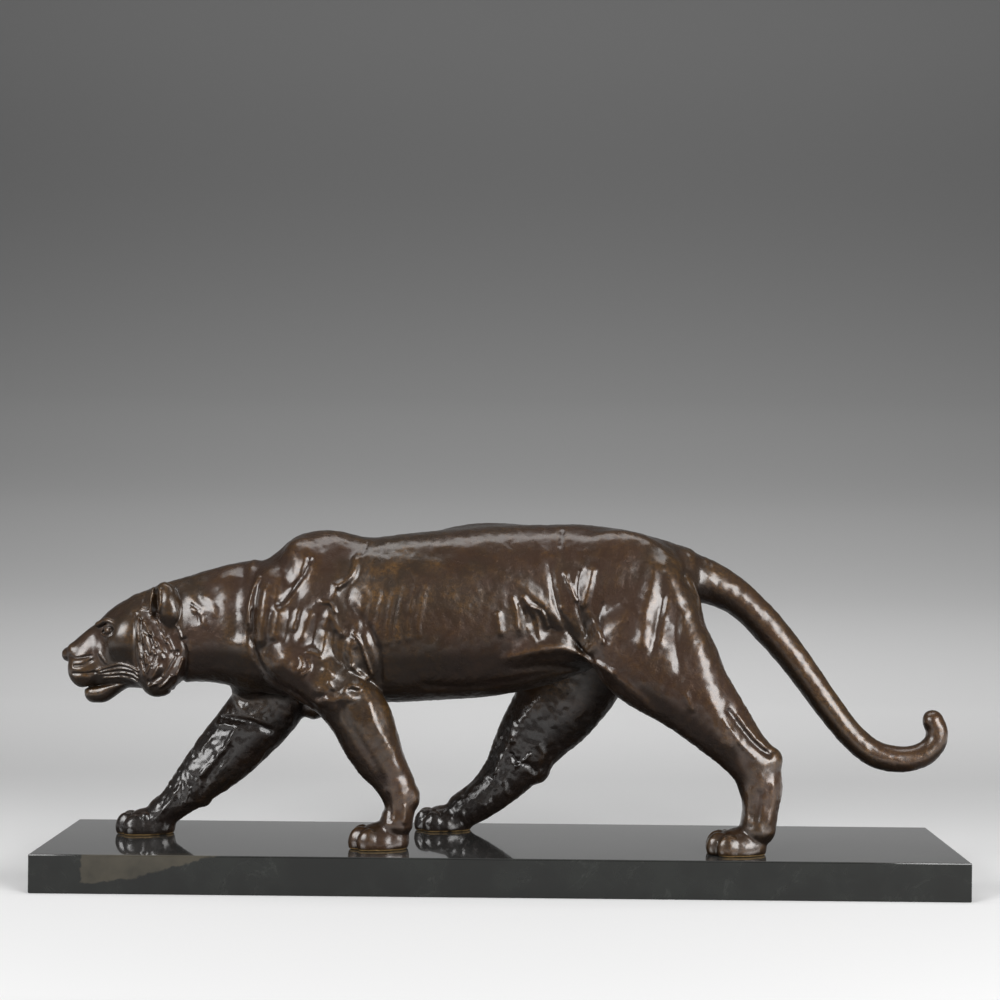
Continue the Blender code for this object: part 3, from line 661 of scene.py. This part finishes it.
# The far legs' inner side: the y of the leg's middle, then its strokes
farLegStrokes = (
    (18, (
        (2.2, -2, -227, 95, -216.4, 94.3, -201.7, 92, -187.8, 85.6),
        (1.9, 1.2, -232.7, 90, -222.9, 90.1, -212.3, 87.8),
        (2, 1.7, -216.4, 85.3, -222.9, 73.8, -233.5, 60.6, -243.3, 49.1),
        (1.6, 0.9, -229.4, 88.4, -237.6, 76.9, -244.1, 68.7),
        (2.4, -1, -219.6, 70.6, -227.8, 59, -237.6, 46.7, -244.1, 34.4),
        (2.8, 1.4, -262.1, 37.5, -268.6, 27.6, -273.5, 21),
        (1.6, 1.1, -253.1, 39.2, -254.7, 26.1),
        (1.6, -0.9, -258, 42.4, -260.5, 26.1),
        (4, 1.4, -216.4, 110, -211.5, 104),
    )),
    (43, (
        (6.5, 1.6, 30, 112, 24.7, 106.8, 12.2, 90, 7.2, 79.1),
        (2.4, 1.7, 7.2, 76.6, 0.6, 64.9, -6.1, 49.9),
        (2, -1, 3.9, 83.3, -4.4, 68.2, -16.1, 49.8, -32.7, 31.3),
        (1.4, 1.6, 11.4, 55, 18.1, 60.1, 22.2, 65.1),
        (1.8, -1.3, 7.2, 65, 12.2, 58.4, 20.6, 56.8, 27.2, 50.2),
        (2.4, 1.1, 29.7, 73.5, 33, 65.2, 31.4, 50.2),
    )),
)
tailRootStroke = ((144.5, 226, 2, -0.8), (141, 213.3, 2.6, -2.2), (149.8, 201, 2.4, -1.2))
bellyGroove = (3.0, -1.0, -60, 128, -30, 127, 5, 131, 40, 139, 70, 142)
ribs = {"count": 7, "first": -60, "spacing": -8.0, "top": 206, "drop": 1.5, "width": 2.9, "height": 0.75}


def modelFlanks(clay):
    for side in (left, right):
        fore, hind = strideOf["shoulder"][side], strideOf["haunch"][side]
        for rows, forward in ((shoulderStrokes, fore), (flankStrokes, 0.3 * hind), (haunchStrokes, hind),
                              (thighBands, 0.6 * hind), ([bellyGroove], 0)):
            addStrokes(clay, rows, side, headMiddle, forward)
        for i in range(ribs["count"]):
            x = ribs["first"] + i * ribs["spacing"]
            top = ribs["top"] - ribs["drop"] * i
            points = [(x, top), (x - 3, top - 12), (x - 5, top - 26), (x - 5, top - 38)]
            addStroke(clay, points, ribs["width"], ribs["height"], side, headMiddle)
        addStrokes(clay, [tailRootStroke], side, 0, soft=3)
    addStrokes(clay, (*leftArmStrokes, *leftThighStrokes), left, headMiddle)
    for middle, rows in farLegStrokes:
        addStrokes(clay, rows, left, middle)


casting = {
    "low": (-366, -74, -4),        # the block of space that holds the animal, millimetres
    "high": (366, 74, 262),
    "cell": 1.05,
    "headBack": -250,              # the head, ahead of this, is refined and settled
    "pawTop": 24,                  # so are the paws, below this
    "faces": 196000,
    "toolMarks": 0.16,             # height of the hand-worked unevenness
}


def handWorked(points, rng):
    # the unevenness of tooled clay: a sum of products of sines on turned axes, waves of 7 to 22 mm
    lift = np.zeros(len(points))
    for wave in np.geomspace(7, 22, 10):
        turn = np.linalg.qr(rng.normal(size=(3, 3)))[0]
        u, v, w = (points @ turn * (2 * math.pi / wave) + rng.uniform(0, 6.28, 3)).T
        lift += np.sin(u + 1.3 * np.sin(v)) * np.sin(v + 0.9 * np.cos(w)) * (wave / 14)**0.5
    return lift / 2.2


def meshOf(name, points, triangles):
    mesh = bpy.data.meshes.new(name)
    mesh.vertices.add(len(points))
    mesh.vertices.foreach_set("co", points.astype(np.float32).ravel())
    mesh.loops.add(triangles.size)
    mesh.loops.foreach_set("vertex_index", triangles.astype(np.int32).ravel())
    mesh.polygons.add(len(triangles))
    mesh.polygons.foreach_set("loop_start", np.arange(0, triangles.size, 3, dtype=np.int32))
    mesh.update(calc_edges=True)
    return mesh


def applied(obj):
    # the object's mesh with its modifiers worked in
    graph = bpy.context.evaluated_depsgraph_get()
    mesh = bpy.data.meshes.new_from_object(obj.evaluated_get(graph))
    obj.modifiers.clear()
    old = obj.data
    obj.data = mesh
    bpy.data.meshes.remove(old)
    mesh.name = obj.name


def buildPanther():
    clay = []
    for model in (modelTrunk, modelHead, modelLimbs, modelTail, modelPaws, modelFace, modelFlanks, cutSoles):
        model(clay)
    cell = casting["cell"]
    field = fieldInBricks(clay, casting["low"], casting["high"], cell)
    points, quads = skinOf(field, casting["low"], cell)
    triangles = splitQuads(points, quads)

    def detailed():
        return (points[:, 0] < casting["headBack"]) | (points[:, 2] < casting["pawTop"])

    points, triangles = halveEdges(points, triangles, detailed())
    loose = detailed() & (points[:, 2] > 0.8)
    points[loose] = settle(clay, points[loose])
    normals = normalsOf(points, triangles)
    # inner marks the legs' inner sides and under the faces turned downwards: the finish blacks both as
    # painted shade with darker patina, and inner also roughens the skin
    middle = np.where(points[:, 0] < 0, -8.0, 0.0)
    inner = smoothStep(-normals[:, 1] * np.sign(points[:, 1] - middle) * 1.4)
    inner = inner * smoothStep((128 - points[:, 2]) / 40)
    under = smoothStep((-normals[:, 2] - 0.04) / 0.28)
    calm = smoothStep((points[:, 2] - 1) / 8) * np.where(points[:, 0] < -285, 0.45, 1.0) * (1 + 1.4 * inner)
    lift = handWorked(points, np.random.default_rng(11)) * casting["toolMarks"] * calm
    points = points + normals * lift[:, None]
    soft = smoothed(points, triangles, 8)
    softer = smoothed(soft, triangles, 40)
    # hollow and crease tell how far the skin lies below its smoothed copy: the finish blacks the deep places
    # as patina and painted shade, and turns the ridges amber
    hollow = ((softer - points) * normals).sum(1)
    crease = ((soft - points) * normals).sum(1)
    mesh = meshOf("bronze_panther", points * millimetre + np.array([0, 0, soleHeight]), triangles)
    for name, values in (("hollow", hollow), ("crease", crease), ("inner", inner), ("under", under)):
        mesh.attributes.new(name, "FLOAT", "POINT").data.foreach_set("value", values.astype(np.float32))
    panther = bpy.data.objects.new("bronze_panther", mesh)
    bpy.context.scene.collection.objects.link(panther)
    thin = panther.modifiers.new("thin", "DECIMATE")
    thin.ratio = min(1.0, casting["faces"] / len(triangles))
    applied(panther)
    panther.data.shade_smooth()
    print("panther:", len(triangles), "triangles worked, kept", len(panther.data.polygons))
    return panther


# Materials

def addNode(tree, kind, **settings):
    node = tree.nodes.new(kind)
    for key, value in settings.items():
        if key in node.inputs:
            node.inputs[key].default_value = value
        else:
            setattr(node, key, value)
    return node


def setInputs(node, values):
    for key, value in values.items():
        node.inputs[key].default_value = value


def link(tree, pairs):
    # (socket, node, name of the node's input) each
    for socket, node, name in pairs:
        tree.links.new(socket, node.inputs[name])


def newGroup(name, inputs, outputs):
    # a shader group with float inputs, name to default, and outputs, name to socket type
    group = bpy.data.node_groups.new(name, "ShaderNodeTree")
    group.interface.new_socket("Vector", in_out="INPUT", socket_type="NodeSocketVector")
    for key, value in inputs.items():
        socket = group.interface.new_socket(key, in_out="INPUT", socket_type="NodeSocketFloat")
        socket.default_value = value
    for key, kind in outputs.items():
        group.interface.new_socket(key, in_out="OUTPUT", socket_type=kind)
    return group, group.nodes.new("NodeGroupInput"), group.nodes.new("NodeGroupOutput")


def maths(tree, operation, a, b=None, clamp=False):
    node = tree.nodes.new("ShaderNodeMath")
    node.operation = operation
    node.use_clamp = clamp
    for socket, value in zip(node.inputs, (a, b)):
        if value is None:
            continue
        if isinstance(value, (int, float)):
            socket.default_value = value
        else:
            tree.links.new(value, socket)
    return node.outputs[0]


def times(tree, a, b):
    return maths(tree, "MULTIPLY", a, b)


def ramp(tree, value, low, high, to=(0.0, 1.0)):
    # value from low to high becomes the two ends of to, eased and held beyond them
    node = tree.nodes.new("ShaderNodeMapRange")
    node.interpolation_type = "SMOOTHSTEP"
    setInputs(node, {"From Min": low, "From Max": high, "To Min": to[0], "To Max": to[1]})
    tree.links.new(value, node.inputs["Value"])
    return node.outputs["Result"]


def blendColour(tree, factor, first, second):
    node = tree.nodes.new("ShaderNodeMix")
    node.data_type = "RGBA"
    tree.links.new(factor, node.inputs["Factor"])
    for key, value in (("A", first), ("B", second)):
        socket = next(s for s in node.inputs if s.name == key and s.type == "RGBA")
        if isinstance(value, tuple):
            socket.default_value = (*value, 1.0)
        else:
            tree.links.new(value, socket)
    return next(s for s in node.outputs if s.type == "RGBA")


def noise(tree, vector, scale, detail=3.0, roughness=0.55):
    node = addNode(tree, "ShaderNodeTexNoise", Scale=scale, Detail=detail, Roughness=roughness)
    tree.links.new(vector, node.inputs["Vector"])
    return node.outputs["Fac"]


def makeGrainGroup():
    # unevenness, specks and pits that the casting, the stone and the steel all have at their own scale
    floats = {name: "NodeSocketFloat" for name in ("Height", "Specks", "Clouds")}
    sizes = {"Size": 100.0, "Speck Size": 900.0, "Speck Share": 0.3}
    tree, start, end = newGroup("surface grain", sizes, floats)
    broad = addNode(tree, "ShaderNodeTexNoise", Detail=4.0, Roughness=0.6)
    fine = addNode(tree, "ShaderNodeTexNoise", Detail=2.0, Roughness=0.5)
    place = start.outputs["Vector"]
    link(tree, ((place, broad, "Vector"), (start.outputs["Size"], broad, "Scale"),
                (place, fine, "Vector"), (start.outputs["Speck Size"], fine, "Scale")))
    gate = maths(tree, "SUBTRACT", 1.0, start.outputs["Speck Share"])
    specks = maths(tree, "MULTIPLY", maths(tree, "SUBTRACT", fine.outputs["Fac"], gate), 6.0, clamp=True)
    height = maths(tree, "ADD", broad.outputs["Fac"], times(tree, fine.outputs["Fac"], 0.25))
    link(tree, ((height, end, "Height"), (specks, end, "Specks"), (broad.outputs["Fac"], end, "Clouds")))
    return tree


def newMaterial(name):
    material = bpy.data.materials.new(name)
    material.use_nodes = True
    tree = material.node_tree
    tree.nodes.clear()
    output = addNode(tree, "ShaderNodeOutputMaterial")
    shader = addNode(tree, "ShaderNodeBsdfPrincipled")
    tree.links.new(shader.outputs["BSDF"], output.inputs["Surface"])
    return material, tree, shader, addNode(tree, "ShaderNodeTexCoord").outputs["Object"]


def addGrain(tree, group, place, size, speckSize, speckShare):
    node = addNode(tree, "ShaderNodeGroup", node_tree=group)
    tree.links.new(place, node.inputs["Vector"])
    setInputs(node, {"Size": size, "Speck Size": speckSize, "Speck Share": speckShare})
    return node


def addBump(tree, shader, height, distance, strength, before=None):
    node = addNode(tree, "ShaderNodeBump", Strength=strength, Distance=distance)
    tree.links.new(height, node.inputs["Height"])
    if before is not None:
        tree.links.new(before, node.inputs["Normal"])
    tree.links.new(node.outputs["Normal"], shader.inputs["Normal"])
    return node.outputs["Normal"]


patina = {
    # black: the patina's black, also laid on as painted shade in the hollows, on the legs' inner sides and
    # underneath
    "black": (0.007, 0.0055, 0.005),
    "brown": (0.033, 0.0195, 0.0105),
    "red": (0.041, 0.0198, 0.0105),
    "amber": (0.135, 0.066, 0.017),
    "rub": (0.34, 0.22, 0.09),
    "metallic": 0.25,
    "coat": 1.0,
    "coatRoughness": 0.25,
    "coatIor": 1.62,
    "sheen": 0.1,                  # specular level of the body under the coat
}


def bronzeMaterial(grain):
    material, tree, shader, place = newMaterial("brown bronze patina")
    hollow, crease, inner, under = (
        addNode(tree, "ShaderNodeAttribute", attribute_name=name).outputs["Fac"]
        for name in ("hollow", "crease", "inner", "under"))
    cast = addGrain(tree, grain, place, 330.0, 1500.0, 0.36)
    clouds = noise(tree, place, 16.0, 3.0, 0.6)
    patches = noise(tree, place, 55.0, 4.0, 0.62)
    ground = blendColour(tree, ramp(tree, clouds, 0.40, 0.62), patina["red"], patina["brown"])
    # amber where the patina is thin: in clouds and on the ridges
    glow = times(tree, ramp(tree, clouds, 0.46, 0.66), ramp(tree, patches, 0.42, 0.68))
    ridge = ramp(tree, hollow, 0.05, -0.55)
    glow = maths(tree, "ADD", times(tree, glow, 0.6), times(tree, ridge, 0.35), clamp=True)
    glow = times(tree, glow, ramp(tree, cast.outputs["Clouds"], 0.30, 0.62))
    ground = blendColour(tree, glow, ground, patina["amber"])
    # black in the hollows and creases, on the legs' inner sides and underneath: partly the patina's black and
    # partly painted shade, where shade falls
    dark = maths(tree, "MAXIMUM", ramp(tree, hollow, 0.35, 2.4), ramp(tree, crease, 0.12, 0.7, (0.0, 0.65)))
    shade = maths(tree, "MAXIMUM", inner, times(tree, under, 0.9))
    dark = maths(tree, "MAXIMUM", dark, times(tree, shade, 0.9))
    dark = times(tree, dark, ramp(tree, patches, 0.15, 0.55, (0.75, 1.0)))
    # painted shade and patina: the black laid over the ground colour
    ground = blendColour(tree, dark, ground, patina["black"])
    ground = blendColour(tree, times(tree, cast.outputs["Specks"], 0.35), ground, patina["black"])
    # bare metal where the soles rub
    split = addNode(tree, "ShaderNodeSeparateXYZ")
    tree.links.new(place, split.inputs[0])
    sole = ramp(tree, split.outputs["Z"], soleHeight + 0.0016, soleHeight + 0.0004)
    sole = times(tree, sole, ramp(tree, patches, 0.40, 0.56))
    ground = blendColour(tree, sole, ground, patina["rub"])
    rough = maths(tree, "ADD", ramp(tree, patches, 0.3, 0.7, (0.26, 0.40)), times(tree, dark, 0.08))
    metal = maths(tree, "ADD", patina["metallic"], times(tree, glow, 0.35), clamp=True)
    polish = ramp(tree, under, 0.0, 1.0, (patina["coat"], 0.08))
    link(tree, ((ground, shader, "Base Color"), (rough, shader, "Roughness"), (metal, shader, "Metallic"),
                (polish, shader, "Coat Weight")))
    setInputs(shader, {"Coat Roughness": patina["coatRoughness"], "Coat IOR": patina["coatIor"],
                       "Specular IOR Level": patina["sheen"]})
    bump = addBump(tree, shader, noise(tree, place, 140.0, 2.0, 0.5), 0.0014, 0.6)
    roughPlaces = times(tree, cast.outputs["Height"], ramp(tree, patches, 0.36, 0.58, (0.4, 1.0)))
    bump = addBump(tree, shader, roughPlaces, 0.0009, 0.75, bump)
    pitted = maths(tree, "MAXIMUM", inner, ramp(tree, patches, 0.48, 0.70, (0.1, 0.8)))
    pits = ramp(tree, noise(tree, place, 620.0, 1.5, 0.5), 0.36, 0.47, (-1.0, 0.0))
    addBump(tree, shader, times(tree, pits, pitted), 0.0006, 0.8, bump)
    return material


stone = {
    "dark": (0.008, 0.0085, 0.0075),
    "green": (0.013, 0.0145, 0.0125),
    "tan": (0.070, 0.060, 0.042),
    "pale": (0.08, 0.083, 0.075),
    "paintedTopLight": 0.045,                        # painted light: the polished top is made a little paler than the sides, standing in for the brighter light that it mirrors
    "veinStart": plinthLow.x + 0.040,      # the tan vein on the front, from here
    "veinEnd": plinthLow.x + 0.165,        # to here
    "veinDepth": 0.021,                    # as deep as this at its start
}


def marbleMaterial(grain):
    material, tree, shader, place = newMaterial("black green marble")
    body = addGrain(tree, grain, place, 60.0, 700.0, 0.30)
    clouds = noise(tree, place, 22.0, 5.0, 0.6)
    ground = blendColour(tree, ramp(tree, clouds, 0.38, 0.66), stone["dark"], stone["green"])
    wisps = addNode(tree, "ShaderNodeTexNoise", Scale=9.0, Detail=8.0, Roughness=0.62, Distortion=1.6)
    tree.links.new(place, wisps.inputs["Vector"])
    thread = maths(tree, "ABSOLUTE", maths(tree, "SUBTRACT", wisps.outputs["Fac"], 0.5))
    thread = times(tree, ramp(tree, thread, 0.008, 0.0), ramp(tree, clouds, 0.45, 0.7, (0.0, 0.35)))
    ground = blendColour(tree, thread, ground, stone["pale"])
    # the vein: a ragged wedge under the front's upper edge
    split = addNode(tree, "ShaderNodeSeparateXYZ")
    tree.links.new(place, split.inputs[0])
    x, y, z = (split.outputs[axis] for axis in "XYZ")
    ragged = times(tree, maths(tree, "SUBTRACT", noise(tree, place, 70.0, 4.0, 0.65), 0.5), 0.010)
    taper = ramp(tree, x, stone["veinStart"] + 0.012, stone["veinEnd"], (stone["veinDepth"], -0.002))
    depth = maths(tree, "SUBTRACT", plinthHigh.z, z)
    vein = ramp(tree, maths(tree, "SUBTRACT", maths(tree, "ADD", taper, ragged), depth), -0.0006, 0.0010)
    for edge in (ramp(tree, maths(tree, "ADD", x, ragged), stone["veinStart"] - 0.0008,
                      stone["veinStart"] + 0.0008),
                 ramp(tree, y, plinthLow.y + 0.012, plinthLow.y + 0.002),
                 ramp(tree, clouds, 0.25, 0.62, (0.25, 0.8))):
        vein = times(tree, vein, edge)
    ground = blendColour(tree, vein, ground, stone["tan"])
    ground = blendColour(tree, times(tree, body.outputs["Specks"], 0.12), ground, stone["pale"])
    onTop = ramp(tree, z, plinthHigh.z - 0.0008, plinthHigh.z - 0.0001)
    # painted light: the top face is whitened a little
    ground = blendColour(tree, times(tree, onTop, stone["paintedTopLight"]), ground, (1.0, 1.0, 1.0))
    rough = ramp(tree, body.outputs["Clouds"], 0.3, 0.7, (0.05, 0.10))
    link(tree, ((ground, shader, "Base Color"), (rough, shader, "Roughness"), (onTop, shader, "Coat Weight")))
    setInputs(shader, {"IOR": 1.45, "Coat Roughness": 0.03, "Coat IOR": 1.55})
    addBump(tree, shader, body.outputs["Height"], 0.0001, 0.05)
    return material


def steelMaterial(grain):
    material, tree, shader, place = newMaterial("zinc plated steel")
    turned = addGrain(tree, grain, place, 900.0, 4000.0, 0.35)
    ground = blendColour(tree, turned.outputs["Clouds"], (0.42, 0.41, 0.38), (0.58, 0.58, 0.56))
    ground = blendColour(tree, turned.outputs["Specks"], ground, (0.20, 0.17, 0.13))
    rough = ramp(tree, turned.outputs["Clouds"], 0.3, 0.7, (0.28, 0.46))
    link(tree, ((ground, shader, "Base Color"), (rough, shader, "Roughness")))
    setInputs(shader, {"Metallic": 1.0})
    addBump(tree, shader, turned.outputs["Height"], 0.00008, 0.25)
    return material


def dress(obj, material):
    obj.data.materials.clear()
    obj.data.materials.append(material)


# Studio

studio = {
    "shades": ((0.0, 0.98), (0.05, 0.97), (0.167, 0.67), (0.317, 0.455), (0.489, 0.345), (0.863, 0.248),
               (1.243, 0.288)),     # height and greyness: the backdrop darkens upwards
    "nearFloor": (-0.32, 0.20, 0.90),   # from the first y to the second the floor brightens from this share
    "front": (0.06, 0.06, 0.06),   # below the picture the floor is dark, so the bronze mirrors dark there
    "frontFade": (-0.50, -0.33),   # between these y
    "bounce": (0.20, 0.20, 0.20),  # what the floor throws back on the animal
    "wallDistance": 1.7,           # behind the plinth
    "sweepRadius": 1.2,
    "ambient": 0.13,
    "halfWidth": 4.0,
    "reach": 4.0,                  # how far it comes forward
    "height": 3.2,
}
lamps = {                          # place, size, power
    "left": ((-1.10, -1.08, 0.70), (0.85, 0.72), 17.5),
    "right": ((1.08, -1.12, 0.48), (1.0, 0.85), 26.0),
    "top": ((0.0, 0.04, 1.45), (1.5, 0.45), 6.0),
}


def buildStage():
    # floor, a quarter round and a wall, as one swept profile
    wall, radius = studio["wallDistance"], studio["sweepRadius"]
    turn = np.linspace(-math.pi / 2, 0, 24)
    profile = np.vstack([[(-studio["reach"], 0.0)],
                         np.stack([wall - radius + radius * np.cos(turn),
                                   radius + radius * np.sin(turn)], 1),
                         [(wall, studio["height"])]])
    rows = len(profile)
    points = np.vstack([np.column_stack([np.full(rows, x), profile]) for x in
                        (-studio["halfWidth"], studio["halfWidth"])])
    step = np.arange(rows - 1)
    quads = np.stack([step, step + rows, step + rows + 1, step + 1], 1)
    mesh = bpy.data.meshes.new("backdrop")
    mesh.from_pydata(points.tolist(), [], quads.tolist())
    mesh.shade_smooth()
    sweep = bpy.data.objects.new("backdrop", mesh)
    bpy.context.scene.collection.objects.link(sweep)
    material, tree, shader, place = newMaterial("pale paper")
    split = addNode(tree, "ShaderNodeSeparateXYZ")
    tree.links.new(place, split.inputs[0])
    top = studio["shades"][-1][0]
    rise = addNode(tree, "ShaderNodeValToRGB")
    shades = rise.color_ramp
    for height, grey in studio["shades"][1:-1]:
        shades.elements.new(height / top).color = (grey, grey, grey, 1.0)
    for end, (height, grey) in ((0, studio["shades"][0]), (-1, studio["shades"][-1])):
        shades.elements[end].color = (grey, grey, grey, 1.0)
    shades.interpolation = "CARDINAL"
    tree.links.new(maths(tree, "DIVIDE", split.outputs["Z"], top), rise.inputs["Fac"])
    near = ramp(tree, split.outputs["Y"], *studio["frontFade"])
    first, last, share = studio["nearFloor"]
    paper = times(tree, rise.outputs["Color"], ramp(tree, split.outputs["Y"], first, last, (share, 1.0)))
    seenColour = blendColour(tree, near, studio["front"], paper)
    path = addNode(tree, "ShaderNodeLightPath")
    seen = maths(tree, "ADD", path.outputs["Is Camera Ray"], path.outputs["Is Glossy Ray"])
    seen = maths(tree, "ADD", seen, path.outputs["Is Transmission Ray"], clamp=True)
    tree.links.new(blendColour(tree, seen, studio["bounce"], seenColour), shader.inputs["Base Color"])
    setInputs(shader, {"Roughness": 0.9, "Specular IOR Level": 0.1})
    dress(sweep, material)
    sweep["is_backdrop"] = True


def buildLight():
    target = Vector((0, 0, 0.14))      # the middle of the animal
    for name, (place, size, power) in lamps.items():
        lamp = bpy.data.lights.new(name + " softbox", "AREA")
        lamp.shape = "RECTANGLE"
        lamp.size, lamp.size_y = size
        lamp.energy = power
        holder = bpy.data.objects.new(name + " softbox", lamp)
        holder.location = place
        holder.rotation_euler = (target - Vector(place)).to_track_quat("-Z", "Y").to_euler()
        bpy.context.scene.collection.objects.link(holder)
    world = bpy.data.worlds.new("studio")
    world.use_nodes = True
    setInputs(world.node_tree.nodes["Background"],
              {"Color": (1.0, 1.0, 1.0, 1.0), "Strength": studio["ambient"]})
    bpy.context.scene.world = world


viewpoint = {
    "place": (0.0156, -1.3193, 0.2914),
    "roll": -0.57,                 # degrees
    "focalPixels": 1636.4,         # focal length over the width of one pixel
    "imagePixels": 1000,
    "centrePixel": (524, 516),     # where the camera's axis meets the picture
    "sensor": 36.0,
}


def buildCamera():
    lens = bpy.data.cameras.new("camera")
    pixels = viewpoint["imagePixels"]
    lens.sensor_width = viewpoint["sensor"]
    lens.lens = viewpoint["focalPixels"] * viewpoint["sensor"] / pixels
    lens.shift_x = (pixels / 2 - viewpoint["centrePixel"][0]) / pixels
    lens.shift_y = (viewpoint["centrePixel"][1] - pixels / 2) / pixels
    lens.clip_start, lens.clip_end = 0.05, 20
    camera = bpy.data.objects.new("camera", lens)
    camera.location = viewpoint["place"]
    camera.rotation_euler = (math.radians(90), math.radians(viewpoint["roll"]), 0)
    bpy.context.scene.collection.objects.link(camera)
    bpy.context.scene.camera = camera


buildCamera()
buildStage()
buildLight()
bpy.context.scene.view_settings.view_transform = "Standard"
print("studio ready")

grain = makeGrainGroup()
steel = steelMaterial(grain)
marble = marbleMaterial(grain)
for name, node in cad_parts.items():
    if name == "marble_base":
        dress(node, marble)
    elif name != "panther":
        dress(node, steel)
print("plinth and fixings dressed")

panther = buildPanther()
dress(panther, bronzeMaterial(grain))
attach(panther, "root")
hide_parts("panther")
print("panther dressed")

boxes = {"cad": cadBox, "visual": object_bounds()}
{name: [list(corner) for corner in box] for name, box in boxes.items()}
